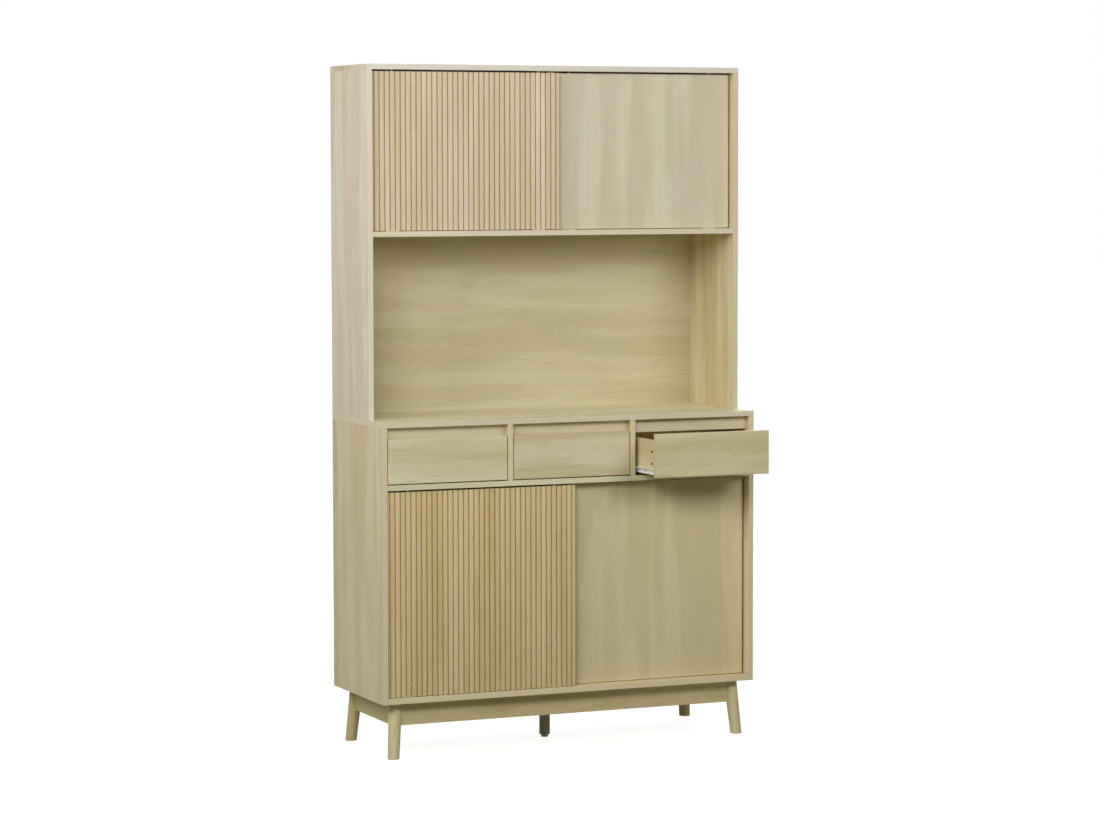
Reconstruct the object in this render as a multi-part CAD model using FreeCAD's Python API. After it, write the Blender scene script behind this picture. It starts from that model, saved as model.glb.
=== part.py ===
import FreeCAD, Part
import os
from FreeCAD import Vector

# A tall dresser: a base with three drawers over two sliding doors, on a low frame with
# splayed legs, and a shallower hutch on it with an open niche and two more sliding doors.
# Millimetres, +Z up, the front faces -Y and the floor is Z = 0.
# The origin is on the floor under the centre leg, which is under the middle of the base.

os.makedirs("parts", exist_ok=True)

# ---- Carcass
width = 1200.0              # base and hutch, over the side boards
base_depth = 420.0
base_height = 821.0         # carcass of the base, without its legs
hutch_depth = 312.0         # the hutch stands flush with the back of the base
hutch_height = 1034.0
board = 16.0                # every carcass board but the bottom one
bottom_board = 18.0
edge_ease = 0.6             # chamfer along the visible front edges
drawer_bay_height = 166.0   # clear height of the three drawer bays
niche_height = 533.0        # clear height of the open niche
back_panel = 5.0            # thickness of the three back panels
back_inset = 11.0           # from the rear edge of the sides to the back panels
back_groove = 6.0           # depth of the grooves that hold the back panels
panel_slack = 0.2           # play of a back panel or drawer bottom in its groove

# ---- Leg frame
leg_height = 164.0
leg_top_radius = 20.0       # splayed corner legs
leg_sole_radius = 17.2
centre_leg_radius = 16.3    # straight
centre_leg_ease = 1.0       # chamfer round its sole
centre_leg_lift = 8.0       # its sole above the floor; an adjusting glide takes up the rest
foot_radius = 11.0          # the glide's disc and its threaded stud
foot_thickness = 5.0
stud_radius = 4.0
stud_depth = 40.0           # in the leg
stud_clearance = 0.05
leg_sole_inset_x = 42.0     # sole centres, from the sides and from front and back
leg_sole_inset_y = 31.0
leg_splay_x = 13.0          # how far the top of a corner leg leans inwards
leg_splay_y = 16.0
apron_height = 68.0
apron_thickness = 18.0
apron_inset_front = 38.0    # from the front and back of the base
apron_inset_side = 44.0

# ---- Inside the base and the hutch
partition_set_back = 4.0    # clearance behind the rear doors
shelf_set_back = 3.0        # shelf behind the front edge of the partition
shelf_rise = 296.0          # underside of the shelves above the bottom board

# ---- Sliding doors
door_thickness = 15.0
base_door_set_back = 3.0    # front doors behind the front edges
hutch_door_set_back = 8.0
base_pass_gap = 15.0        # between a front door and the rear door it passes
hutch_pass_gap = 3.0
door_lap = 20.0             # overlap of the two doors in the middle
door_side_gap = 2.0         # of a front door, closed
rear_door_side_gap = 4.5
door_floor_gap = 2.0
door_head_gap = 5.0
flute_count = 36
flute_width = 4.6           # at the face of the door
flute_floor_width = 3.4
flute_depth = 4.0
flute_first = 5.6           # middle of the first flute from the door's left edge
track_width = 6.0           # grooves that guide the doors, above and below
track_depth = 7.0
guide_inset = 64.0          # middles of guides and glides, from the door's edges
insert_width = 5.5          # plastic guides and glides set in the edges of a door, behind the flutes
insert_clearance = 0.05     # round them in their mortises
guide_length = 20.0         # top guides, each with a pin
guide_sunk = 24.0
guide_pin_radius = 2.4
guide_reach = 5.0           # pin into the track
glide_length = 40.0         # bottom glides, each with a tongue
glide_sunk = 14.0
glide_tongue = 5.0          # width of the tongue in the track
glide_seat_gap = 0.3        # tongue above the floor of the track

# ---- Drawers
front_gap = 3.0             # round a drawer front, at its sides and below it
finger_gap = 33.0           # above a drawer front
front_round = 1.5
grip_set_back = 22.0        # grip rail behind the drawer fronts
grip_height = 39.0
drawer_side = 12.0          # thickness of the drawer's sides and back
drawer_side_height = 101.0
drawer_bottom = 5.0
drawer_bottom_rise = 10.0   # underside of the drawer bottom above the side's lower edge
drawer_groove = 5.5
drawer_rear_space = 38.0    # between a closed drawer and the back panel
open_distance = 138.0       # the right drawer stands open by this much

# ---- Roller runners
runner_set_back = 18.0      # cabinet member behind the front edges
runner_side_gap = 12.5      # between the bay and the drawer's side
sheet = 1.2                 # steel of the runners
channel_height = 17.5       # cabinet member, outside
channel_reach = 8.8         # its flanges, from the web
channel_rise = 5.5          # cabinet member above the deck
drawer_rise = 5.0           # drawer's sides above the foot of the cabinet member
lip_cut = 26.0              # upper flange left out round the front roller
roller_radius = 7.2
roller_width = 6.6
roller_bore_clearance = 0.05
roller_gap = 0.3            # between a roller and what runs on it
roller_proud = 1.5          # front roller above the cabinet member
axle_radius = 2.0
axle_end = 0.6              # axle beyond the roller
roller_inset = 12.0         # axles from the ends of the members

# ---- Places that follow from the sizes above
side_x = width / 2 - board              # inner face of a side board
base_front = -base_depth / 2
base_rear = base_depth / 2
hutch_front = base_rear - hutch_depth
panel_rear = base_rear - back_inset
panel_front = panel_rear - back_panel
base_z = leg_height
bottom_top = base_z + bottom_board
base_top = base_z + base_height
bay_top = base_top - board
deck_top = bay_top - drawer_bay_height
deck_under = deck_top - board
floor_under = base_top + niche_height
floor_top = floor_under + board
hutch_top = base_top + hutch_height
head_under = hutch_top - board
bay_width = (2 * side_x - 2 * board) / 3
bay_pitch = bay_width + board
door_width = (2 * side_x + door_lap) / 2 - door_side_gap
base_doors_depth = 2 * door_thickness + base_pass_gap
hutch_doors_depth = 2 * door_thickness + hutch_pass_gap
base_doors_front = base_front + base_door_set_back
hutch_doors_front = hutch_front + hutch_door_set_back
base_partition_front = base_doors_front + base_doors_depth + partition_set_back
hutch_partition_front = hutch_doors_front + hutch_doors_depth + partition_set_back
front_bottom = deck_top + front_gap
front_top = bay_top - finger_gap
runner_z = deck_top + channel_rise
rear_roller_z = runner_z + sheet + roller_gap + roller_radius
front_roller_z = runner_z + channel_height + roller_proud - roller_radius
flange_under = front_roller_z + roller_radius + roller_gap
side_under = runner_z + drawer_rise
runner_length = panel_front - drawer_rear_space - base_front - board


def block(x0, x1, y0, y1, z0, z1):
    return Part.makeBox(x1 - x0, y1 - y0, z1 - z0, Vector(x0, y0, z0))


def eased_front(shape, direction, size=edge_ease):
    """Chamfer the edges of the front face that run along the given direction."""
    front = shape.BoundBox.YMin
    chosen = []
    for edge in shape.Edges:
        ends = [vertex.Point for vertex in edge.Vertexes]
        on_front = all(abs(point.y - front) < 1e-6 for point in ends)
        if on_front and abs((ends[1] - ends[0]).normalize().dot(direction)) > 0.99:
            chosen.append(edge)
    return shape.makeChamfer(size, chosen)


def rounded_front(shape, radius):
    """Round all the edges of the front face."""
    front = shape.BoundBox.YMin
    chosen = []
    for edge in shape.Edges:
        if all(abs(vertex.Point.y - front) < 1e-6 for vertex in edge.Vertexes):
            chosen.append(edge)
    return shape.makeFillet(radius, chosen)


def mirrored(shape):
    """The same piece on the other side of the middle plane."""
    return shape.mirror(Vector(0, 0, 0), Vector(1, 0, 0))


def moved(shape, x=0.0, y=0.0, z=0.0):
    copy = shape.copy()
    copy.translate(Vector(x, y, z))
    return copy


def save(node, *solids):
    shape = solids[0] if len(solids) == 1 else Part.makeCompound(list(solids))
    shape.exportStep("parts/" + node + ".step")


def back_groove_cut(x0, x1, z0, z1):
    """Room for the edge of a back panel."""
    return block(x0, x1, panel_front - panel_slack, panel_rear + panel_slack, z0, z1)


def track_cuts(front, doors_depth, z0, z1):
    """The two grooves that guide a pair of sliding doors, whose front is at front."""
    cuts = []
    for middle in (front + door_thickness / 2, front + doors_depth - door_thickness / 2):
        cuts.append(block(-side_x, side_x, middle - track_width / 2, middle + track_width / 2, z0, z1))
    return cuts


# ---- Base carcass

def base_side():
    """The right side board; the top board lies on it."""
    side = block(side_x, width / 2, base_front, base_rear, base_z, bay_top)
    side = eased_front(side, Vector(0, 0, 1))
    return side.cut(back_groove_cut(side_x, side_x + back_groove, base_z, bay_top))


def base_top_board():
    top = block(-width / 2, width / 2, base_front, base_rear, bay_top, base_top)
    top = eased_front(top, Vector(1, 0, 0))
    groove_x = side_x + back_groove
    return top.cut(back_groove_cut(-groove_x, groove_x, bay_top, bay_top + back_groove))


def base_bottom_board():
    bottom = block(-side_x, side_x, base_front, panel_front, base_z, bottom_top)
    bottom = eased_front(bottom, Vector(1, 0, 0))
    tracks = track_cuts(base_doors_front, base_doors_depth, bottom_top - track_depth, bottom_top)
    return bottom.cut(Part.makeCompound(tracks))


def drawer_deck():
    """The board under the drawers; the lower doors are guided in its underside."""
    deck = block(-side_x, side_x, base_front, panel_front, deck_under, deck_top)
    deck = eased_front(deck, Vector(1, 0, 0))
    tracks = track_cuts(base_doors_front, base_doors_depth, deck_under, deck_under + track_depth)
    return deck.cut(Part.makeCompound(tracks))


def drawer_divider():
    """The board to the right of the middle bay."""
    x = bay_width / 2
    divider = block(x, x + board, base_front, panel_front, deck_top, bay_top)
    return eased_front(divider, Vector(0, 0, 1))


def grip_rail(middle_x):
    """The rail behind the finger gap, one in each bay."""
    y = base_front + grip_set_back
    x0 = middle_x - bay_width / 2
    rail = block(x0, x0 + bay_width, y, y + board, bay_top - grip_height, bay_top)
    return eased_front(rail, Vector(1, 0, 0))


def base_partition():
    return block(-board / 2, board / 2, base_partition_front, panel_front, bottom_top, deck_under)


def base_shelf():
    """The right shelf, fixed between the partition and the side."""
    z = bottom_top + shelf_rise
    shelf = block(board / 2, side_x, base_partition_front + shelf_set_back, panel_front, z, z + board)
    return eased_front(shelf, Vector(1, 0, 0))


def base_back():
    """Grooved into the sides and the top, and lapping behind the bottom board."""
    edge = side_x + back_groove - panel_slack
    return block(-edge, edge, panel_front, panel_rear, base_z, bay_top + back_groove - panel_slack)


# ---- Leg frame

def corner_leg(end):
    """A leg that leans inwards and tapers from its round top to its round sole: the right one
    at the front (end is -1) or at the rear (+1)."""
    sole_x = width / 2 - leg_sole_inset_x
    sole_y = base_depth / 2 - leg_sole_inset_y
    sole = Vector(sole_x, end * sole_y, 0)
    top = Vector(sole_x - leg_splay_x, end * (sole_y - leg_splay_y), leg_height)
    rings = [Part.Wire(Part.makeCircle(radius, middle))
             for radius, middle in ((leg_sole_radius, sole), (leg_top_radius, top))]
    return Part.makeLoft(rings, True, True)


def centre_leg():
    """A straight leg with a bore in its sole for the stud of its glide."""
    sole = Vector(0, 0, centre_leg_lift)
    leg = Part.makeCylinder(centre_leg_radius, leg_height - centre_leg_lift, sole)
    sole_edges = [edge for edge in leg.Edges if edge.BoundBox.ZMax < centre_leg_lift + 1e-3]
    leg = leg.makeChamfer(centre_leg_ease, sole_edges)
    return leg.cut(Part.makeCylinder(stud_radius + stud_clearance, stud_depth + stud_clearance, sole))


def centre_leg_foot():
    """The adjusting glide: a disc on the floor and its stud in the leg."""
    foot = Part.makeCylinder(foot_radius, foot_thickness)
    stud_height = centre_leg_lift - foot_thickness + stud_depth
    return foot.fuse(Part.makeCylinder(stud_radius, stud_height, Vector(0, 0, foot_thickness)))


def aprons(legs):
    """Front, rear, left and right boards between the legs, each scribed to the legs it meets."""
    outer_x = width / 2 - apron_inset_side
    inner_x = outer_x - apron_thickness
    outer_y = base_depth / 2 - apron_inset_front
    inner_y = outer_y - apron_thickness
    low = base_z - apron_height
    boards = (block(-inner_x, inner_x, -outer_y, -inner_y, low, base_z),
              block(-inner_x, inner_x, inner_y, outer_y, low, base_z),
              block(-outer_x, -inner_x, -inner_y, inner_y, low, base_z),
              block(inner_x, outer_x, -inner_y, inner_y, low, base_z))
    return [apron.cut(Part.makeCompound(legs)) for apron in boards]


# ---- Hutch carcass

def hutch_side():
    """The right side board, on the base and under the hutch's top board."""
    side = block(side_x, width / 2, hutch_front, base_rear, base_top, head_under)
    side = eased_front(side, Vector(0, 0, 1))
    return side.cut(back_groove_cut(side_x, side_x + back_groove, base_top, head_under))


def hutch_top_board():
    top = block(-width / 2, width / 2, hutch_front, base_rear, head_under, hutch_top)
    top = eased_front(top, Vector(1, 0, 0))
    groove_x = side_x + back_groove
    cuts = track_cuts(hutch_doors_front, hutch_doors_depth, head_under, head_under + track_depth)
    cuts.append(back_groove_cut(-groove_x, groove_x, head_under, head_under + back_groove))
    return top.cut(Part.makeCompound(cuts))


def hutch_floor():
    """The board over the niche, which carries the upper doors."""
    floor = block(-side_x, side_x, hutch_front, panel_front, floor_under, floor_top)
    floor = eased_front(floor, Vector(1, 0, 0))
    tracks = track_cuts(hutch_doors_front, hutch_doors_depth, floor_top - track_depth, floor_top)
    return floor.cut(Part.makeCompound(tracks))


def hutch_partition():
    return block(-board / 2, board / 2, hutch_partition_front, panel_front, floor_top, head_under)


def hutch_backs():
    """The niche back and the upper back, which meet behind the hutch's floor board."""
    edge = side_x + back_groove - panel_slack
    seam = (floor_under + floor_top) / 2
    niche = block(-edge, edge, panel_front, panel_rear, base_top, seam)
    upper = block(-edge, edge, panel_front, panel_rear, seam, head_under + back_groove - panel_slack)
    return niche, upper


# ---- Sliding doors. Each is drawn with its front face at y = 0 and its left edge at x = 0.

def fluted_profile():
    """Outline of the fluted door, seen from above: a board with a row of tapered flutes."""
    pitch = door_width / flute_count
    mouth = flute_width / 2
    root = flute_floor_width / 2
    points = [Vector(0, door_thickness, 0), Vector(0, edge_ease, 0), Vector(edge_ease, 0, 0)]
    for number in range(flute_count):
        middle = flute_first + number * pitch
        points.append(Vector(middle - mouth - edge_ease, 0, 0))
        points.append(Vector(middle - mouth, edge_ease, 0))
        points.append(Vector(middle - root, flute_depth, 0))
        points.append(Vector(middle + root, flute_depth, 0))
        points.append(Vector(middle + mouth, edge_ease, 0))
        points.append(Vector(middle + mouth + edge_ease, 0, 0))
    points.append(Vector(door_width - edge_ease, 0, 0))
    points.append(Vector(door_width, edge_ease, 0))
    points.append(Vector(door_width, door_thickness, 0))
    points.append(points[0])
    return Part.Face(Part.makePolygon(points))


def insert(middle_x, length, z0, z1, spare):
    """The body of a guide or a glide; spare widens it to its mortise."""
    half_length = length / 2 + spare
    half_width = insert_width / 2 + spare
    middle_y = door_thickness / 2
    return block(middle_x - half_length, middle_x + half_length,
                 middle_y - half_width, middle_y + half_width, z0, z1)


def guide_places():
    return guide_inset, door_width - guide_inset


def door_mortises(height):
    spare = insert_clearance
    cuts = []
    for x in guide_places():
        cuts.append(insert(x, guide_length, height - guide_sunk - spare, height, spare))
        cuts.append(insert(x, glide_length, 0, glide_sunk + spare, spare))
    return cuts


def door_guides(height):
    """Two guides in the top edge with pins, and two glides in the bottom edge with tongues."""
    middle_y = door_thickness / 2
    foot = glide_seat_gap - door_floor_gap - track_depth
    pieces = []
    for x in guide_places():
        pin_start = Vector(x, middle_y, height)
        pin = Part.makeCylinder(guide_pin_radius, door_head_gap + guide_reach, pin_start)
        pieces.append(insert(x, guide_length, height - guide_sunk, height, 0).fuse(pin))
        tongue = block(x - glide_length / 2, x + glide_length / 2,
                       middle_y - glide_tongue / 2, middle_y + glide_tongue / 2, foot, 0)
        pieces.append(insert(x, glide_length, 0, glide_sunk, 0).fuse(tongue))
    return pieces


def door_panel(height, fluted):
    if fluted:
        panel = fluted_profile().extrude(Vector(0, 0, height))
    else:
        panel = block(0, door_width, 0, door_thickness, 0, height)
        panel = eased_front(panel, Vector(0, 0, 1))
    return panel.cut(Part.makeCompound(door_mortises(height)))


def sliding_doors(level, front, doors_depth, opening_floor, opening_head):
    """A fluted door on the left in the front track, and a plain one on the right behind it."""
    z = opening_floor + door_floor_gap
    height = opening_head - door_head_gap - z
    left_x = -side_x + door_side_gap
    right_x = side_x - rear_door_side_gap - door_width
    rear_y = front + doors_depth - door_thickness
    for name, fluted, x, y in (("left", True, left_x, front), ("right", False, right_x, rear_y)):
        node = level + "_" + name + "_door"
        save(node + "_panel", moved(door_panel(height, fluted), x, y, z))
        save(node + "_guides", *[moved(piece, x, y, z) for piece in door_guides(height)])


# ---- Roller runners, drawn for the left side of a bay: x = 0 is the bay's wall, y = 0 the front

def axle(x0, x1, y, z):
    return Part.makeCylinder(axle_radius, x1 - x0, Vector(x0, y, z), Vector(1, 0, 0))


def cabinet_member():
    """A channel screwed to the wall, open to the drawer, with the front roller's axle."""
    reach = sheet + channel_reach
    y0 = runner_set_back
    y1 = y0 + runner_length
    z0 = runner_z
    z1 = z0 + channel_height
    web = block(0, sheet, y0, y1, z0, z1)
    lower = block(sheet, reach, y0, y1, z0, z0 + sheet)
    upper = block(sheet, reach, y0 + lip_cut, y1, z1 - sheet, z1)
    end = sheet + axle_end + roller_width + axle_end
    pin = axle(sheet, end, y0 + roller_inset, front_roller_z)
    return web.multiFuse([lower, upper, pin]).removeSplitter()


def drawer_member():
    """An angle under the drawer's side, with a flange that runs on the front roller."""
    y0 = board
    y1 = y0 + runner_length
    inner = runner_side_gap
    outer = inner - sheet
    web = block(outer, inner, y0, y1, side_under - sheet, flange_under + sheet)
    under = block(inner, inner + drawer_side, y0, y1, side_under - sheet, side_under)
    flange = block(sheet + axle_end, outer, y0, y1, flange_under, flange_under + sheet)
    start = outer - axle_end - roller_width - axle_end
    pin = axle(start, outer, y1 - roller_inset, rear_roller_z)
    return web.multiFuse([under, flange, pin]).removeSplitter()


def roller(x0, y, z):
    wheel = Part.makeCylinder(roller_radius, roller_width, Vector(x0, y, z), Vector(1, 0, 0))
    bore = axle_radius + roller_bore_clearance
    return wheel.cut(Part.makeCylinder(bore, roller_width, Vector(x0, y, z), Vector(1, 0, 0)))


def front_roller():
    return roller(sheet + axle_end, runner_set_back + roller_inset, front_roller_z)


def rear_roller():
    start = runner_side_gap - sheet - axle_end - roller_width
    return roller(start, board + runner_length - roller_inset, rear_roller_z)


def runner_pair(piece, middle_x, y):
    """The same piece at the left and the right wall of a bay."""
    wall = bay_width / 2
    left = moved(piece, -wall)
    right = mirrored(left)
    return [moved(half, middle_x, y) for half in (left, right)]


# ---- Drawers, drawn about x = 0 with the front face at y = 0

def drawer_box_width():
    return bay_width - 2 * runner_side_gap


def bottom_groove(x0, x1, y0, y1):
    z = side_under + drawer_bottom_rise
    return block(x0, x1, y0, y1, z - panel_slack, z + drawer_bottom + panel_slack)


def drawer_front():
    half = bay_width / 2 - front_gap
    front = block(-half, half, 0, board, front_bottom, front_top)
    front = rounded_front(front, front_round)
    inner = drawer_box_width() / 2 - drawer_side + drawer_groove
    return front.cut(bottom_groove(-inner, inner, board - drawer_groove, board))


def drawer_side_board():
    """The right side of a drawer."""
    outer = drawer_box_width() / 2
    inner = outer - drawer_side
    y1 = board + runner_length
    side = block(inner, outer, board, y1, side_under, side_under + drawer_side_height)
    return side.cut(bottom_groove(inner, inner + drawer_groove, board, y1))


def drawer_back():
    """Between the sides, standing on the drawer's bottom."""
    inner = drawer_box_width() / 2 - drawer_side
    y1 = board + runner_length
    z0 = side_under + drawer_bottom_rise + drawer_bottom
    return block(-inner, inner, y1 - drawer_side, y1, z0, side_under + drawer_side_height)


def drawer_bottom_panel():
    half = drawer_box_width() / 2 - drawer_side + drawer_groove - panel_slack
    z = side_under + drawer_bottom_rise
    y0 = board - drawer_groove + panel_slack
    return block(-half, half, y0, board + runner_length, z, z + drawer_bottom)


def drawer(name, middle_x, opened):
    y = base_front - opened
    side = drawer_side_board()
    save(name + "_drawer_front", moved(drawer_front(), middle_x, y))
    save(name + "_drawer_sides", moved(mirrored(side), middle_x, y), moved(side, middle_x, y))
    save(name + "_drawer_back", moved(drawer_back(), middle_x, y))
    save(name + "_drawer_bottom", moved(drawer_bottom_panel(), middle_x, y))
    save(name + "_drawer_members", *runner_pair(drawer_member(), middle_x, y))
    save(name + "_drawer_rear_rollers", *runner_pair(rear_roller(), middle_x, y))
    save(name + "_bay_front_rollers", *runner_pair(front_roller(), middle_x, base_front))


# ---- The whole dresser

save("base_side_left", mirrored(base_side()))
save("base_side_right", base_side())
save("base_top", base_top_board())
save("base_bottom", base_bottom_board())
save("drawer_deck", drawer_deck())
save("drawer_divider_left", mirrored(drawer_divider()))
save("drawer_divider_right", drawer_divider())
save("base_partition", base_partition())
save("base_shelf_left", mirrored(base_shelf()))
save("base_shelf_right", base_shelf())
save("base_back", base_back())

front_legs = [mirrored(corner_leg(-1)), corner_leg(-1)]
rear_legs = [mirrored(corner_leg(1)), corner_leg(1)]
save("legs_front", *front_legs)
save("legs_rear", *rear_legs)
save("leg_centre", centre_leg())
save("leg_centre_glide", centre_leg_foot())
apron_front, apron_rear, apron_left, apron_right = aprons(front_legs + rear_legs)
save("apron_front", apron_front)
save("apron_rear", apron_rear)
save("aprons_side", apron_left, apron_right)

save("hutch_side_left", mirrored(hutch_side()))
save("hutch_side_right", hutch_side())
save("hutch_top", hutch_top_board())
save("hutch_floor", hutch_floor())
save("hutch_partition", hutch_partition())
niche_back, upper_back = hutch_backs()
save("hutch_niche_back", niche_back)
save("hutch_upper_back", upper_back)

sliding_doors("lower", base_doors_front, base_doors_depth, bottom_top, deck_under)
sliding_doors("upper", hutch_doors_front, hutch_doors_depth, floor_top, head_under)

members = []
for name, middle_x, opened in (("left", -bay_pitch, 0.0), ("middle", 0.0, 0.0),
                               ("right", bay_pitch, open_distance)):
    drawer(name, middle_x, opened)
    save("grip_rail_" + name, grip_rail(middle_x))
    members.extend(runner_pair(cabinet_member(), middle_x, base_front))
save("cabinet_runners", *members)
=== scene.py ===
import bmesh
import bpy
import math
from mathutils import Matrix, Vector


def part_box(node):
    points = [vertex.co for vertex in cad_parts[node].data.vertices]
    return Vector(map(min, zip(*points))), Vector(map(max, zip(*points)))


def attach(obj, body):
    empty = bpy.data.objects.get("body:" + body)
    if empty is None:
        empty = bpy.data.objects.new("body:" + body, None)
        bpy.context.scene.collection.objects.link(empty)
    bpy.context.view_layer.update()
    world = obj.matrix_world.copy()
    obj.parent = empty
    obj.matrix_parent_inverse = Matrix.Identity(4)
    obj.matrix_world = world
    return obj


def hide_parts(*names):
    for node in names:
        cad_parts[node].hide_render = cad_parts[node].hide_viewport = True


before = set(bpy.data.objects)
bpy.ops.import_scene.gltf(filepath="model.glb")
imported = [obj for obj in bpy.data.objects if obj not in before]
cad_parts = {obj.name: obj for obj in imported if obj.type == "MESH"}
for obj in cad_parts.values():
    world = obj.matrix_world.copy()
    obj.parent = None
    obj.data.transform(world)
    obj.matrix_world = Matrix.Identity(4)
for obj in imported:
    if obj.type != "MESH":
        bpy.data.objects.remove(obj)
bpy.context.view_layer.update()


# ---- Base carcass
# Sides, top, bottom, drawer deck, dividers, grip rails, a partition, shelves and a back panel, in
# 16 and 18 mm chipboard with a pale oak print and a thin strip glued along the front edges. The
# boards are doweled together; the back panel slides in grooves.

def dye(red, green, blue):
    """A colour as read off a sample, 0 to 255 each, as the linear colour that the shaders take."""
    return (*[((part / 255 + 0.055) / 1.055) ** 2.4 for part in (red, green, blue)], 1.0)


def add(tree, kind, inputs=None, **settings):
    """A new node in a tree. Inputs are values, or the outputs of other nodes."""
    made = tree.nodes.new(kind)
    for key, value in settings.items():
        setattr(made, key, value)
    for key, value in (inputs or {}).items():
        if isinstance(value, bpy.types.NodeSocket):
            tree.links.new(value, made.inputs[key])
        else:
            made.inputs[key].default_value = value
    return made


def maths(tree, how, first, second=0.0, third=0.0):
    """Arithmetic on single values."""
    return add(tree, "ShaderNodeMath", {0: first, 1: second, 2: third}, operation=how).outputs[0]


def between(tree, value, low, high, to_low=0.0, to_high=1.0):
    """A smooth step from to_low, where the value is at low, to to_high, where it is at high."""
    step = add(tree, "ShaderNodeMapRange", {"Value": value, "From Min": low, "From Max": high,
                                            "To Min": to_low, "To Max": to_high},
               interpolation_type="SMOOTHSTEP")
    return step.outputs["Result"]


def tint(tree, share, first, second, blend_type="MIX"):
    """The second colour laid over the first. Sockets 6 and 7 are the node's two colours."""
    mix = add(tree, "ShaderNodeMix", {0: share, 6: first, 7: second},
              data_type="RGBA", blend_type=blend_type)
    return mix.outputs[2]


def toned(tree, colour, tone):
    """A colour times a tone, which is how much red, green and blue a piece has of the usual."""
    return tint(tree, 1.0, colour, (*tone, 1.0), "MULTIPLY")


def streaks(tree, grain, across, along, detail=2.0, start=0.0):
    """Clouds drawn out along the grain: across and along are their usual size in metres."""
    drawn = add(tree, "ShaderNodeMapping", {"Vector": grain, "Location": (start, start, start),
                                            "Scale": (1 / across, 1 / across, 1 / along)})
    cloud = add(tree, "ShaderNodeTexNoise", {"Vector": drawn.outputs[0], "Scale": 1.0, "Detail": detail})
    return cloud.outputs["Fac"]


def effect(name, takes, gives):
    """An empty shader group with named inputs and outputs, and its two end nodes."""
    group = bpy.data.node_groups.new(name, "ShaderNodeTree")
    kinds = {"Color": "NodeSocketColor", "Vector": "NodeSocketVector", "Float": "NodeSocketFloat"}
    for label, kind in takes.items():
        group.interface.new_socket(label, in_out="INPUT", socket_type=kinds[kind])
    for label, kind in gives.items():
        group.interface.new_socket(label, in_out="OUTPUT", socket_type=kinds[kind])
    return group, add(group, "NodeGroupInput").outputs, add(group, "NodeGroupOutput").inputs


def oak_print():
    """The printed figure: broad soft bands, narrow streaks and arches, short dark pores, a few small
    knots. The grain runs along the vector's Z and sways a little."""
    tree, given, told = effect(
        "oak_print",
        {"Grain": "Vector", "Pale": "Color", "Tan": "Color", "Rosy": "Color", "Pore": "Color",
         "Tone": "Color", "Bands": "Float", "Figure": "Float", "Pores": "Float"},
        {"Color": "Color", "Roughness": "Float", "Height": "Float"})
    sway = streaks(tree, given["Grain"], 0.30, 0.55, 1.0, start=4.0)
    bend = add(tree, "ShaderNodeVectorMath", {0: (0.05, 0.05, 0.0), "Scale": sway}, operation="SCALE")
    grain = add(tree, "ShaderNodeVectorMath", {0: given["Grain"], 1: bend.outputs[0]}).outputs[0]
    broad = between(tree, streaks(tree, grain, 0.075, 0.80, 1.0), 0.40, 0.60)
    narrow = between(tree, streaks(tree, grain, 0.022, 0.30, 2.0, start=7.0), 0.36, 0.68)
    fibre = streaks(tree, grain, 0.0014, 0.05, 2.0, start=11.0)
    mood = between(tree, streaks(tree, grain, 0.07, 0.35, 1.0, start=15.0), 0.42, 0.60)
    hills = streaks(tree, grain, 0.045, 0.42, 1.0, start=19.0)
    contours = maths(tree, "SINE", maths(tree, "MULTIPLY", hills, 62.0))
    zone = between(tree, streaks(tree, grain, 0.16, 0.7, 1.0, start=23.0), 0.46, 0.66)
    arches = maths(tree, "MULTIPLY", between(tree, contours, 0.1, 0.95), zone)
    pore = between(tree, streaks(tree, grain, 0.0026, 0.036, 1.0, start=31.0), 0.60, 0.76)
    pore_zone = between(tree, streaks(tree, grain, 0.030, 0.13, 1.0, start=37.0), 0.52, 0.68)
    pores = maths(tree, "MULTIPLY", pore, pore_zone)
    cells = add(tree, "ShaderNodeMapping", {"Vector": grain, "Scale": (9.0, 9.0, 3.2)})
    cells = add(tree, "ShaderNodeTexVoronoi", {"Vector": cells.outputs[0], "Scale": 1.0})
    knots = between(tree, cells.outputs["Distance"], 0.02, 0.16, 1.0, 0.0)
    shade = maths(tree, "MULTIPLY", broad, given["Bands"])
    shade = maths(tree, "MULTIPLY_ADD", narrow, maths(tree, "MULTIPLY", given["Bands"], 0.38), shade)
    shade = maths(tree, "MULTIPLY_ADD", arches, given["Figure"], shade)
    shade = maths(tree, "MULTIPLY_ADD", knots, 0.25, shade)
    face = tint(tree, shade, given["Pale"], given["Tan"])
    face = tint(tree, maths(tree, "MULTIPLY", mood, 0.45), face, given["Rosy"])
    face = tint(tree, maths(tree, "MULTIPLY", pores, given["Pores"]), face, given["Pore"])
    face = tint(tree, between(tree, fibre, 0.3, 0.7, 0.0, 0.10), face, given["Pore"])
    face = tint(tree, 1.0, face, given["Tone"], "MULTIPLY")
    rough = maths(tree, "ADD", fibre, maths(tree, "MULTIPLY", pores, 0.4))
    for label, value in (("Color", face), ("Roughness", between(tree, rough, 0.3, 0.9, 0.48, 0.66)),
                         ("Height", maths(tree, "SUBTRACT", fibre, pores))):
        tree.links.new(value, told[label])
    return tree


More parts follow.
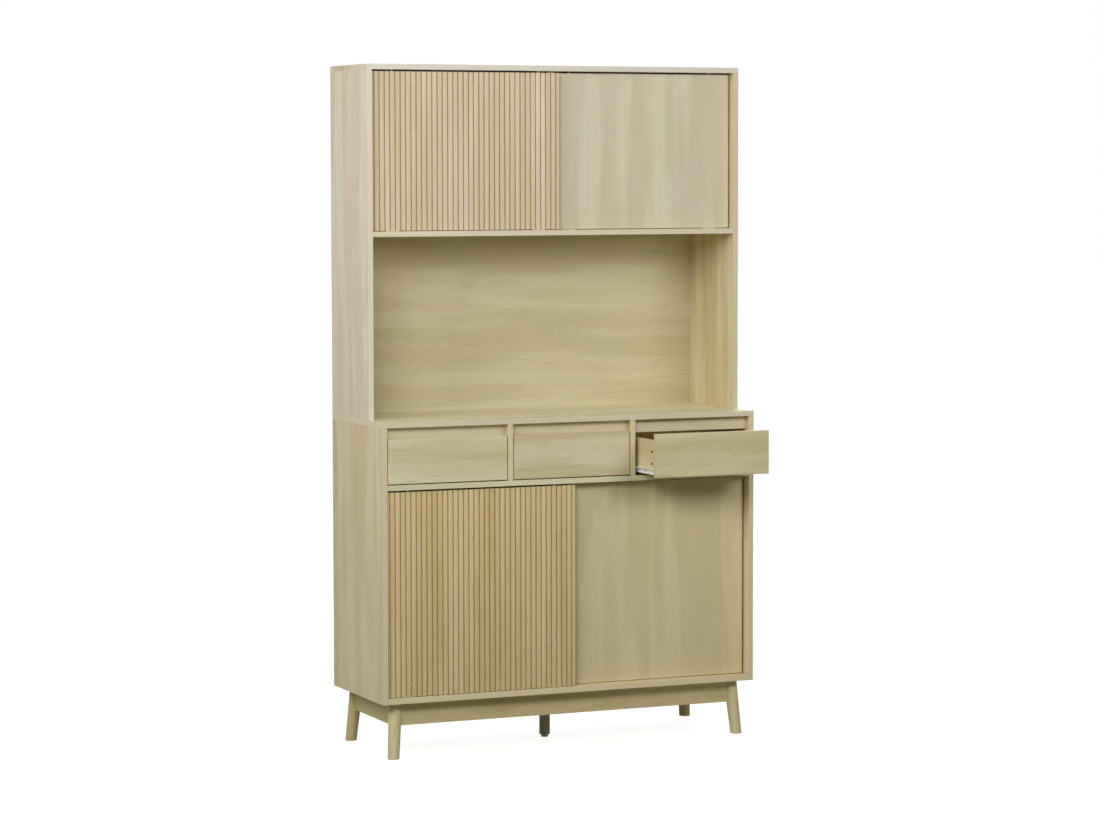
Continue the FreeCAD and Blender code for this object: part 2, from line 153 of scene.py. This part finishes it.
def edge_strip():
    """The glued strip along a front edge: it reaches a little way round, to a fine dark joint."""
    tree, given, told = effect("edge_strip", {"Place": "Vector", "Front": "Float", "Thickness": "Float"},
                               {"Strip": "Float", "Joint": "Float"})
    inwards = add(tree, "ShaderNodeSeparateXYZ", {0: given["Place"]}).outputs["Y"]
    inwards = maths(tree, "SUBTRACT", inwards, given["Front"])
    inwards = maths(tree, "DIVIDE", inwards, given["Thickness"])
    joint = maths(tree, "ABSOLUTE", maths(tree, "SUBTRACT", inwards, 1.0))
    tree.links.new(between(tree, inwards, 0.9, 1.1, 1.0, 0.0), told["Strip"])
    tree.links.new(between(tree, joint, 0.05, 0.30, 1.0, 0.0), told["Joint"])
    return tree


OAK_PRINT, EDGE_STRIP = oak_print(), edge_strip()
PALE, TAN, ROSY = dye(221, 211, 175), dye(190, 173, 126), dye(215, 194, 160)
PORE, STRIP = dye(140, 122, 84), dye(214, 205, 176)
UPRIGHT, LEVEL, DEEP = (0.0, 0.0, 0.0), (0.0, math.pi / 2, 0.0), (math.pi / 2, 0.0, 0.0)
NEXT_LEAF = (1.37, 0.61, 0.83)  # each piece is cut from its own leaf of the print, this far on
STRIP_THICKNESS = 0.0010
END_JOINT = (0.0006, 0.0002)    # the strip on an end starts between these depths
STRIP_COVER, JOINT_COVER, END_COVER = 0.60, 0.30, 0.85      # how much they hide of the print
PRINT_RELIEF, PRINT_GLOSS = (0.25, 0.0002), 0.35
# The last tone is for the worktop only, and is painted light.
USUAL, PALER, TOP_PAINTED_LIGHT = (1.0, 1.0, 1.0), (1.16, 1.16, 1.18), (1.27, 1.34, 1.48)


def blank(name):
    """A new material: its tree, its shader, and the place on the piece."""
    material = bpy.data.materials.new(name)
    material.use_nodes = True
    tree = material.node_tree
    shader = tree.nodes["Principled BSDF"]
    return material, tree, shader, add(tree, "ShaderNodeTexCoord").outputs["Object"]


def surface(tree, shader, colour, roughness, height, strength, distance, gloss=0.5):
    """Joins a finish to its shader. The height raises the surface by the distance."""
    raised = add(tree, "ShaderNodeBump", {"Strength": strength, "Distance": distance, "Height": height})
    tree.links.new(colour, shader.inputs["Base Color"])
    tree.links.new(roughness, shader.inputs["Roughness"])
    tree.links.new(raised.outputs[0], shader.inputs["Normal"])
    shader.inputs["Specular IOR Level"].default_value = gloss


def coat(node, material):
    """Gives a CAD piece its finish."""
    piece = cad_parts[node].data
    piece.materials.clear()
    piece.materials.append(material)


def wrap(node, turn, leaf, tone=USUAL, strip=False, edge=None, ends=None,
         bands=0.60, figure=0.12, pores=0.40):
    """Wraps a board in the print. The grain is turned along the board, and the tone scales the colour
    of its leaf; on the boards noted where they are listed, the tone is painted light or shade. The
    strip on its front edge takes a part of that tone, or its own one from edge; ends is the tone of
    the strips on its ends, where it has them."""
    material, tree, shader, place = blank("oak_" + node)
    low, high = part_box(node)
    cut = add(tree, "ShaderNodeMapping", {"Vector": place, "Rotation": turn,
                                          "Location": tuple(leaf * step for step in NEXT_LEAF)})
    figured = add(tree, "ShaderNodeGroup", {"Grain": cut.outputs[0], "Pale": PALE, "Tan": TAN,
                                            "Rosy": ROSY, "Pore": PORE, "Tone": (*tone, 1.0),
                                            "Bands": bands, "Figure": figure, "Pores": pores},
                  node_tree=OAK_PRINT).outputs
    face = figured["Color"]
    if strip:
        glued = add(tree, "ShaderNodeGroup", {"Place": place, "Front": low.y,
                                              "Thickness": STRIP_THICKNESS}, node_tree=EDGE_STRIP).outputs
        front = toned(tree, STRIP, edge or [part ** 0.6 for part in tone])
        face = tint(tree, maths(tree, "MULTIPLY", glued["Strip"], STRIP_COVER), face, front)
        face = tint(tree, maths(tree, "MULTIPLY", glued["Joint"], JOINT_COVER), face, PORE)
    if ends:
        across = maths(tree, "ABSOLUTE", add(tree, "ShaderNodeSeparateXYZ", {0: place}).outputs["X"])
        capped = between(tree, across, high.x - END_JOINT[0], high.x - END_JOINT[1], 0.0, END_COVER)
        face = tint(tree, capped, face, toned(tree, STRIP, ends))
    surface(tree, shader, face, figured["Roughness"], figured["Height"],
            *PRINT_RELIEF, gloss=PRINT_GLOSS)
    coat(node, material)


for leaf, (node, turn, tone, more) in enumerate((
        ("base_side_left", UPRIGHT, PALER, {"bands": 0.45}),
        ("base_side_right", UPRIGHT, PALER, {}),
        # Painted light: the worktop is made paler than the usual, as if more light fell on it.
        ("base_top", LEVEL, TOP_PAINTED_LIGHT, {"bands": 0.30, "edge": (0.97, 0.92, 0.98),
                                     "ends": (1.22, 1.16, 1.24)}),
        # Painted highlight: the bottom's edge tone makes its front strip a bright cream line.
        ("base_bottom", LEVEL, (1.15, 1.13, 1.10), {"edge": (1.28, 1.24, 1.16)}),
        ("drawer_deck", LEVEL, (1.10, 1.12, 1.12), {"edge": (1.15, 1.22, 1.23)}),
        ("drawer_divider_left", UPRIGHT, PALER, {}),
        ("drawer_divider_right", UPRIGHT, PALER, {}),
        ("base_partition", UPRIGHT, USUAL, {}),
        ("base_shelf_left", LEVEL, USUAL, {}),
        ("base_shelf_right", LEVEL, USUAL, {}),
        ("grip_rail_left", LEVEL, PALER, {}),
        ("grip_rail_middle", LEVEL, PALER, {}),
        ("grip_rail_right", LEVEL, PALER, {}))):
    wrap(node, turn, leaf, tone, strip=True, **more)
wrap("base_back", UPRIGHT, 13)


# ---- Leg frame
# Four turned and splayed legs and a straight one in the middle, in solid pale hardwood with a
# matt lacquer, and an adjusting glide in the middle one. Four printed aprons between the legs
# carry the base.

LEG_HEIGHT, LEAN_X, LEAN_Y = 0.164, 0.013, 0.016        # how far a corner leg leans over its height
# The darker rim at the foot of every leg is painted shade, where it meets the floor.
SOLE_RADIUS, SOLE_SHADE_HEIGHT = 0.0172, 0.004                  # of a corner leg, and how far up its rim is darker
LEG_PALE, LEG_TAN, LEG_BROWN = dye(220, 209, 163), dye(194, 177, 125), dye(207, 190, 143)
HEART = (0.016, 0.024)          # the rings run about a line this far beside the leg's axis
RING = 0.0036                   # from one growth ring to the next


def lacquer(node, axis, lean, leaf, tone):
    """Gives legs their lacquered wood: fine growth rings about a heart beside the leg, and long fibres.
    All corners are folded into one, where the leg has this axis and lean. The tone is painted light
    and shade, and the foot of the leg is darkened as painted shade where it meets the floor."""
    material, tree, shader, place = blank("wood_" + node)
    folded = add(tree, "ShaderNodeVectorMath", {0: place}, operation="ABSOLUTE").outputs[0]
    parts = add(tree, "ShaderNodeSeparateXYZ", {0: folded}).outputs
    across = [maths(tree, "ADD", maths(tree, "MULTIPLY_ADD", parts["Z"], slope, parts[way]), -middle)
              for way, slope, middle in zip("XY", lean, axis)]
    grain = add(tree, "ShaderNodeCombineXYZ", {0: across[0], 1: across[1], 2: parts["Z"]}).outputs[0]
    wander = streaks(tree, grain, 0.05, 0.12, 1.0, start=leaf)
    heart = [maths(tree, "ADD", part, maths(tree, "MULTIPLY_ADD", wander, 0.010, off))
             for part, off in zip(across, HEART)]
    spoke = add(tree, "ShaderNodeCombineXYZ", {0: heart[0], 1: heart[1]}).outputs[0]
    radius = add(tree, "ShaderNodeVectorMath", {0: spoke}, operation="LENGTH").outputs["Value"]
    rings = maths(tree, "SINE", maths(tree, "MULTIPLY", radius, 2 * math.pi / RING))
    fibre = streaks(tree, grain, 0.0010, 0.030, 2.0, start=leaf + 5.0)
    cloud = streaks(tree, grain, 0.012, 0.10, 2.0, start=leaf + 9.0)
    face = tint(tree, between(tree, rings, -0.2, 1.0, 0.0, 0.40), LEG_PALE, LEG_TAN)
    face = tint(tree, between(tree, cloud, 0.35, 0.65, 0.0, 0.35), face, LEG_BROWN)
    face = tint(tree, between(tree, fibre, 0.50, 0.72, 0.0, 0.30), face, PORE)
    # Painted shade: darker at the foot, where the leg meets the floor.
    face = tint(tree, between(tree, parts["Z"], 0.0, SOLE_SHADE_HEIGHT, 0.35, 0.0), face, PORE)
    rough = between(tree, fibre, 0.3, 0.7, 0.42, 0.58)
    surface(tree, shader, toned(tree, face, tone), rough, fibre, 0.3, 0.0003, gloss=0.4)
    coat(node, material)


def moulded(name, pale, dusk, rough):
    """Moulded plastic with a faint cloudiness and a fine tool mark."""
    material, tree, shader, place = blank(name)
    cloud = streaks(tree, place, 0.012, 0.012, 2.0)
    mark = streaks(tree, place, 0.0006, 0.0012, 1.0, start=3.0)
    surface(tree, shader, tint(tree, cloud, pale, dusk),
            between(tree, cloud, 0.3, 0.7, rough - 0.06, rough + 0.06), mark, 0.2, 0.0001)
    return material


white_plastic = moulded("white_plastic", dye(248, 246, 240), dye(238, 236, 228), 0.40)
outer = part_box("legs_front")[0]
corner = (abs(outer.x) - SOLE_RADIUS, abs(outer.y) - SOLE_RADIUS)
corner_lean = (LEAN_X / LEG_HEIGHT, LEAN_Y / LEG_HEIGHT)
# Painted light and shade on one wood: the front legs' tone is lighter, the rear ones' darker and yellower,
# and the middle one's much darker, for the shade under the base.
lacquer("legs_front", corner, corner_lean, 1.0, (1.08, 1.08, 1.08))
lacquer("legs_rear", corner, corner_lean, 2.0, (0.96, 0.92, 0.78))
lacquer("leg_centre", (0.0, 0.0), (0.0, 0.0), 3.0, (0.72, 0.80, 0.84))
coat("leg_centre_glide", white_plastic)
for leaf, (node, turn, tone) in enumerate((
        ("apron_front", LEVEL, (1.18, 1.18, 1.12)),
        ("apron_rear", LEVEL, (1.18, 1.18, 1.12)),
        ("aprons_side", DEEP, (1.00, 1.01, 0.80))), start=14):
    wrap(node, turn, leaf, tone)


# ---- Hutch carcass
# Side boards, a top, the floor of the upper cabinet and a partition in the same printed board,
# with a thin back panel behind the open niche and another behind the cabinet.

# Painted light: the left side, the top with its edge strip and the floor are paler and bluer than the
# usual, for the brighter, hazier light on the upper cabinet.
for leaf, (node, turn, tone, more) in enumerate((
        ("hutch_side_left", UPRIGHT, (1.25, 1.26, 1.53), {"bands": 0.38}),
        ("hutch_side_right", UPRIGHT, (1.08, 1.09, 1.12), {}),
        ("hutch_top", LEVEL, (1.16, 1.19, 1.36), {"edge": (1.19, 1.30, 1.65)}),
        ("hutch_floor", LEVEL, (1.18, 1.20, 1.36), {}),
        ("hutch_partition", UPRIGHT, USUAL, {})), start=17):
    wrap(node, turn, leaf, tone, strip=True, **more)
for leaf, node in enumerate(("hutch_niche_back", "hutch_upper_back"), start=22):
    wrap(node, LEVEL, leaf, (0.97, 1.0, 1.02), bands=0.38)


# ---- Sliding doors
# The right doors are plain printed boards. The left ones are grooved into 36 flat slats and carry
# a warmer print, each slat its own shade. White plastic guides and glides sit in their edges.

SLATS = 36
FIRST_GROOVE = 0.0056           # its middle, from the door's left edge
# The darkening of the grooves towards their floors is painted shade.
GROOVE_SHADE_DEPTHS = (0.0006, 0.0036)       # depth at which a groove starts to darken, and is darkest
SLAT_PALE, SLAT_TAN, SLAT_ROSY = dye(226, 206, 160), dye(204, 178, 124), dye(224, 195, 154)
GROOVE_SHADE_BROWN = dye(176, 146, 98)


def wrap_slats(node, name, leaf, tone):
    """Wraps a grooved door in the warmer print. Each slat is cut from its own place in the leaf and
    has its own shade; a few broad streaks run over several slats, and the grooves are painted
    darker towards their floors, as shade in the recess."""
    material, tree, shader, place = blank(name)
    low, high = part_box(node)
    parts = add(tree, "ShaderNodeSeparateXYZ", {0: place}).outputs
    across = maths(tree, "SUBTRACT", parts["X"], low.x + FIRST_GROOVE)
    slat = maths(tree, "FLOOR", maths(tree, "DIVIDE", across, (high.x - low.x) / SLATS))
    chance = add(tree, "ShaderNodeTexWhiteNoise", {"W": maths(tree, "ADD", slat, 40.0 * leaf)},
                 noise_dimensions="1D").outputs
    cut = add(tree, "ShaderNodeVectorMath", {0: chance["Color"], 1: (0.9, 0.9, 0.9), 2: place},
              operation="MULTIPLY_ADD")
    figured = add(tree, "ShaderNodeGroup", {"Grain": cut.outputs[0], "Pale": SLAT_PALE, "Tan": SLAT_TAN,
                                            "Rosy": SLAT_ROSY, "Pore": PORE, "Tone": (*tone, 1.0),
                                            "Bands": 0.45, "Figure": 0.15, "Pores": 0.45},
                  node_tree=OAK_PRINT).outputs
    deep = toned(tree, SLAT_TAN, tone)
    broad = between(tree, streaks(tree, place, 0.06, 0.60, 1.0, start=3.0 * leaf), 0.46, 0.64, 0.0, 0.55)
    depth = maths(tree, "SUBTRACT", parts["Y"], low.y)
    face = tint(tree, maths(tree, "MULTIPLY", chance["Value"], 0.36), figured["Color"], deep)
    face = tint(tree, broad, face, deep)
    # Painted shade: darker towards the floor of each groove.
    face = tint(tree, between(tree, depth, *GROOVE_SHADE_DEPTHS, 0.0, 0.6), face, GROOVE_SHADE_BROWN)
    surface(tree, shader, face, figured["Roughness"], figured["Height"],
            *PRINT_RELIEF, gloss=PRINT_GLOSS)
    coat(node, material)


# Painted light and shade: the upper doors' tones are paler and bluer, for the hazy sheen of light on them;
# the lower plain door's has less blue, which warms the shade on it.
for leaf, (level, slat_tone_and_light, plain_leaf, plain_tone_and_light, bands) in enumerate((
        ("lower", (1.09, 1.12, 1.16), 50, (1.14, 1.10, 1.00), 1.2),
        ("upper", (1.10, 1.21, 1.65), 58, (1.09, 1.11, 1.26), 1.0)), start=1):
    wrap_slats(level + "_left_door_panel", "slatted_oak_" + level, leaf, slat_tone_and_light)
    wrap(level + "_right_door_panel", UPRIGHT, plain_leaf, plain_tone_and_light, strip=True,
         bands=bands, figure=0.2, pores=0.9)
    for side in ("left", "right"):
        coat(level + "_" + side + "_door_guides", white_plastic)


# ---- Roller runners
# Folded strips of white painted steel, pierced with screw holes, one pair to each side of a
# drawer: a channel on the cabinet and an angle under the drawer. Each has a nylon roller.

HOLES, HOLE_RADIUS, HOLE_STEP = 7, 0.0027, 0.0380
FIRST_HOLE, HOLE_Z = 0.077, 0.8205      # behind the front end of the strip, and above the floor
DRILL_PAST = 0.01                       # beyond the strips, on either side


def painted_steel():
    """White paint over steel, with the fine orange peel of a sprayed coat."""
    material, tree, shader, place = blank("white_paint")
    peel = streaks(tree, place, 0.0016, 0.0016, 2.0)
    cloud = streaks(tree, place, 0.03, 0.03, 2.0, start=5.0)
    surface(tree, shader, tint(tree, cloud, dye(250, 248, 254), dye(240, 238, 245)),
            between(tree, peel, 0.3, 0.7, 0.30, 0.42), peel, 0.3, 0.0001)
    return material


def pattern(name, takes, gives):
    """An empty geometry tree with its inputs, each with a name, a kind and a usual value."""
    tree = bpy.data.node_groups.new(name, "GeometryNodeTree")
    for label, kind, usual in takes:
        socket = tree.interface.new_socket(label, in_out="INPUT", socket_type="NodeSocket" + kind)
        if usual is not None:
            socket.default_value = usual
    tree.interface.new_socket(gives, in_out="OUTPUT", socket_type="NodeSocketGeometry")
    return tree, add(tree, "NodeGroupInput").outputs


def close_pattern(tree, geometry, material):
    """The end of a geometry tree: real copies, in one material."""
    real = add(tree, "GeometryNodeRealizeInstances", {0: geometry})
    coated = add(tree, "GeometryNodeSetMaterial", {"Geometry": real.outputs[0], "Material": material})
    add(tree, "NodeGroupOutput", {0: coated.outputs[0]})


def pierced_strip():
    """Drills a row of round holes through a folded strip, straight across."""
    tree, given = pattern("pierced_strip", (
        ("Strip", "Geometry", None), ("First", "Vector", (0, 0, 0)), ("Step", "Vector", (0, HOLE_STEP, 0)),
        ("Holes", "Int", HOLES), ("Radius", "Float", HOLE_RADIUS), ("Drill", "Float", 1.0),
        ("Paint", "Material", None)), "Strip")
    row = add(tree, "GeometryNodeMeshLine", {"Count": given["Holes"], "Start Location": given["First"],
                                             "Offset": given["Step"]}, mode="OFFSET")
    drill = add(tree, "GeometryNodeMeshCylinder", {"Vertices": 16, "Radius": given["Radius"],
                                                   "Depth": given["Drill"]})
    drills = add(tree, "GeometryNodeInstanceOnPoints", {"Points": row.outputs[0],
                                                        "Instance": drill.outputs[0],
                                                        "Rotation": (0.0, math.pi / 2, 0.0)})
    pierced = add(tree, "GeometryNodeMeshBoolean", {0: given["Strip"], 1: drills.outputs[0]},
                  operation="DIFFERENCE")
    close_pattern(tree, pierced.outputs[0], given["Paint"])
    return tree


def in_room(name, data):
    """A new object in the scene."""
    made = bpy.data.objects.new(name, data)
    bpy.context.scene.collection.objects.link(made)
    return made


def merged(node):
    """A copy of a CAD piece's mesh with its loose triangles joined."""
    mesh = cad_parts[node].data.copy()
    work = bmesh.new()
    work.from_mesh(mesh)
    bmesh.ops.remove_doubles(work, verts=work.verts, dist=1e-6)
    work.to_mesh(mesh)
    work.free()
    return mesh


def shaped(name, mesh, tree, values):
    """A plain piece, made from a mesh by a geometry tree with these inputs."""
    work = in_room(name + "_work", mesh)
    live = work.modifiers.new(name, "NODES")
    live.node_group = tree
    for item in tree.interface.items_tree:
        if item.in_out == "INPUT" and item.name in values:
            live[item.identifier] = values[item.name]
    result = bpy.data.meshes.new_from_object(work.evaluated_get(bpy.context.evaluated_depsgraph_get()))
    bpy.data.objects.remove(work)
    return in_room(name, result)


white_paint = painted_steel()
nylon = moulded("nylon", dye(232, 230, 220), dye(214, 211, 198), 0.45)
strip_tree = pierced_strip()
for side in ("left", "middle", "right"):
    node = side + "_drawer_members"
    low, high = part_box(node)
    strips = shaped(side + "_drawer_strips", merged(node), strip_tree, {
        "First": ((low.x + high.x) / 2, low.y + FIRST_HOLE, HOLE_Z),
        "Drill": high.x - low.x + 2 * DRILL_PAST, "Paint": white_paint})
    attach(strips, side + "_drawer")
    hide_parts(node)
    coat(side + "_drawer_rear_rollers", nylon)
    coat(side + "_bay_front_rollers", nylon)
coat("cabinet_runners", white_paint)


# ---- Drawers
# A rounded front in printed board, two sides and a back in thinner wrapped board, and a thin
# bottom let into grooves. Two dark screws near the front hold each side, and two sunk ones each
# runner strip.

PLAIN = {"bands": 0.3, "figure": 0.1, "pores": 0.2}
HEAD_RADIUS, HEAD_HEIGHT, HEAD_STEP = 0.0043, 0.0012, 0.0357
HEAD_FACE = 0.8                             # its radius, as a share of the head's
CROSS_LENGTH, CROSS_WIDTH = 1.1, 0.28       # shares of the head's radius
CROSS_LIFT = 1.1                            # middle of the cutting bar, as a share of the head's height
SCREW_BACK, SCREW_Z = 0.0315, 0.8450        # behind the back of the front, and height of the lower one
SUNK = 0.0007                               # the ones in the strips are countersunk

for leaf, (side, tone) in enumerate((
        ("left", (1.13, 1.19, 1.29)), ("middle", (1.07, 1.09, 1.17)), ("right", (1.01, 1.03, 1.01)))):
    for part, turn, first_leaf, part_tone, more in (
            ("front", LEVEL, 26, tone, {"bands": 0.55}),
            ("sides", DEEP, 30, (1.0, 0.99, 0.95), PLAIN),
            ("back", LEVEL, 33, USUAL, PLAIN),
            ("bottom", LEVEL, 36, USUAL, {"bands": 0.4, "figure": 0.2, "pores": 0.3})):
        wrap(side + "_drawer_" + part, turn, first_leaf + leaf, part_tone, **more)


def dark_steel():
    """Blackened screw steel: blotchy, rubbed bare here and there."""
    material, tree, shader, place = blank("dark_steel")
    rubbed = between(tree, streaks(tree, place, 0.0012, 0.0012, 2.0), 0.52, 0.70)
    surface(tree, shader, tint(tree, rubbed, dye(52, 40, 22), dye(84, 70, 44)),
            between(tree, rubbed, 0.0, 1.0, 0.55, 0.38), rubbed, 0.3, 0.0001)
    shader.inputs["Metallic"].default_value = 0.6
    return material


def screwed_sides():
    """Screw heads with a cross recess, one after the other on each of two facing sides."""
    tree, given = pattern("screwed_sides", (
        ("Left", "Vector", (0, 0, 0)), ("Right", "Vector", (0, 0, 0)),
        ("Rise", "Vector", (0, 0, HEAD_STEP)), ("Radius", "Float", HEAD_RADIUS),
        ("Thickness", "Float", HEAD_HEIGHT), ("Steel", "Material", None)), "Heads")
    top = maths(tree, "MULTIPLY", given["Radius"], HEAD_FACE)
    head = add(tree, "GeometryNodeMeshCone", {"Vertices": 24, "Radius Top": top,
                                              "Radius Bottom": given["Radius"],
                                              "Depth": given["Thickness"]}).outputs[0]
    long, short = [maths(tree, "MULTIPLY", given["Radius"], share)
                   for share in (CROSS_LENGTH, CROSS_WIDTH)]
    lift = add(tree, "ShaderNodeCombineXYZ", {2: maths(tree, "MULTIPLY", given["Thickness"], CROSS_LIFT)})
    for sides in ((long, short), (short, long)):
        size = add(tree, "ShaderNodeCombineXYZ", {0: sides[0], 1: sides[1], 2: given["Thickness"]})
        bar = add(tree, "GeometryNodeMeshCube", {"Size": size.outputs[0]})
        bar = add(tree, "GeometryNodeTransform", {"Geometry": bar.outputs[0],
                                                  "Translation": lift.outputs[0]})
        head = add(tree, "GeometryNodeMeshBoolean", {0: head, 1: bar.outputs[0]},
                   operation="DIFFERENCE").outputs[0]
    both = add(tree, "GeometryNodeJoinGeometry")
    for side, turn in (("Left", -math.pi / 2), ("Right", math.pi / 2)):
        pair = add(tree, "GeometryNodeMeshLine", {"Count": 2, "Start Location": given[side],
                                                  "Offset": given["Rise"]}, mode="OFFSET")
        heads = add(tree, "GeometryNodeInstanceOnPoints", {"Points": pair.outputs[0], "Instance": head,
                                                           "Rotation": (0.0, turn, 0.0)})
        tree.links.new(heads.outputs[0], both.inputs[0])
    close_pattern(tree, both.outputs[0], given["Steel"])
    return tree


screw_steel, screw_tree = dark_steel(), screwed_sides()
for side in ("left", "middle", "right"):
    low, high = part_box(side + "_drawer_sides")
    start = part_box(side + "_drawer_front")[1].y
    heads = shaped(side + "_drawer_screws", bpy.data.meshes.new("screws"), screw_tree, {
        "Left": (low.x, start + SCREW_BACK, SCREW_Z), "Right": (high.x, start + SCREW_BACK, SCREW_Z),
        "Steel": screw_steel})
    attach(heads, side + "_drawer")
    sunk = shaped(side + "_drawer_strip_screws", bpy.data.meshes.new("screws"), screw_tree, {
        "Left": (low.x - SUNK, start + FIRST_HOLE, HOLE_Z), "Rise": (0.0, HOLE_STEP, 0.0),
        "Right": (high.x + SUNK, start + FIRST_HOLE, HOLE_Z), "Radius": HOLE_RADIUS,
        "Steel": screw_steel})
    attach(sunk, side + "_drawer")


# ---- The room
# A pale floor that runs out into a white surround, and four soft lamps: two in front, one high on
# the left, and one behind for the back. The camera stands a long way off, to the left.

FLOOR_REACH, FLOOR_Z = 40.0, -0.0003
FLOOR_LIGHT, FLOOR_DARK = dye(116, 113, 88), dye(112, 109, 85)
GLOW_NEAR, GLOW_FAR = (1.4, 0.92), (3.6, 1.0)           # distance from the middle, and strength there
WHITE, FILL, FILL_STRENGTH = (1.0, 1.0, 1.0, 1.0), (1.0, 0.90, 0.60, 1.0), 0.03
EYE = (-4.0051, -9.2110, 1.7153)
LOOK_DOWN, TILT, LOOK_RIGHT = 4.158, 0.087, 23.609      # degrees
SENSOR, LENS = 36.0, 109.537                            # millimetres


def in_sight(tree):
    """1 for the rays of the camera, straight, mirrored or through glass, and 0 for the others."""
    ray = add(tree, "ShaderNodeLightPath").outputs
    return maths(tree, "MAXIMUM", ray["Is Camera Ray"],
                 maths(tree, "MAXIMUM", ray["Is Glossy Ray"], ray["Is Transmission Ray"]))


def plain_floor():
    """Matt paint with a glow that is only seen, straight or mirrored, and grows to white farther off."""
    material, tree, shader, place = blank("floor_paint")
    cloud = streaks(tree, place, 0.6, 0.6, 2.0)
    tree.links.new(tint(tree, cloud, FLOOR_LIGHT, FLOOR_DARK), shader.inputs["Base Color"])
    shader.inputs["Roughness"].default_value = 0.8
    away = add(tree, "ShaderNodeVectorMath", {0: place}, operation="LENGTH").outputs["Value"]
    white = between(tree, away, GLOW_NEAR[0], GLOW_FAR[0], GLOW_NEAR[1], GLOW_FAR[1])
    glow = add(tree, "ShaderNodeEmission", {"Strength": maths(tree, "MULTIPLY", in_sight(tree), white)})
    both = add(tree, "ShaderNodeAddShader", {0: shader.outputs[0], 1: glow.outputs[0]})
    tree.links.new(both.outputs[0], tree.nodes["Material Output"].inputs["Surface"])
    return material


floor_mesh = bpy.data.meshes.new("floor")
floor_mesh.from_pydata([(x * FLOOR_REACH, y * FLOOR_REACH, FLOOR_Z)
                        for x, y in ((-1, -1), (1, -1), (1, 1), (-1, 1))], [], [(0, 1, 2, 3)])
floor_mesh.materials.append(plain_floor())
floor = in_room("floor", floor_mesh)

world = bpy.data.worlds.new("room")
bpy.context.scene.world = world
world.use_nodes = True
room = world.node_tree
seen = in_sight(room)
backdrop = room.nodes["Background"].inputs
room.links.new(tint(room, seen, FILL, WHITE), backdrop["Color"])
room.links.new(between(room, seen, 0.0, 1.0, FILL_STRENGTH, 1.0), backdrop["Strength"])


def lamp(name, place, aim, size, watts):
    """A rectangular soft lamp, turned towards a point."""
    light = bpy.data.lights.new(name, "AREA")
    light.shape = "RECTANGLE"
    light.size, light.size_y = size
    light.energy = watts
    hung = in_room(name, light)
    hung.location = place
    hung.visible_camera = False
    x, y, z = [to - at for to, at in zip(aim, place)]
    hung.rotation_euler = (math.atan2(math.hypot(x, y), -z), 0.0, math.atan2(x, -y) + math.pi)


lamp("key_lamp", (1.2, -2.6, 2.1), (0.0, 0.0, 1.1), (1.4, 0.9), 28.0)
lamp("front_lamp", (-2.4, -3.2, 2.8), (-0.4, 0.0, 1.2), (1.4, 1.4), 65.0)
lamp("side_lamp", (-3.4, -1.2, 2.6), (-0.6, 0.0, 1.3), (1.6, 1.6), 52.0)
lamp("rear_lamp", (2.4, 2.8, 4.0), (0.0, 0.2, 1.3), (2.0, 2.0), 100.0)

camera = in_room("camera", bpy.data.cameras.new("camera"))
camera.location = EYE
camera.rotation_euler = (math.radians(90 - LOOK_DOWN), math.radians(TILT), math.radians(-LOOK_RIGHT))
camera.data.sensor_width = SENSOR
camera.data.lens = LENS
bpy.context.scene.camera = camera
bpy.context.scene.view_settings.view_transform = "Standard"
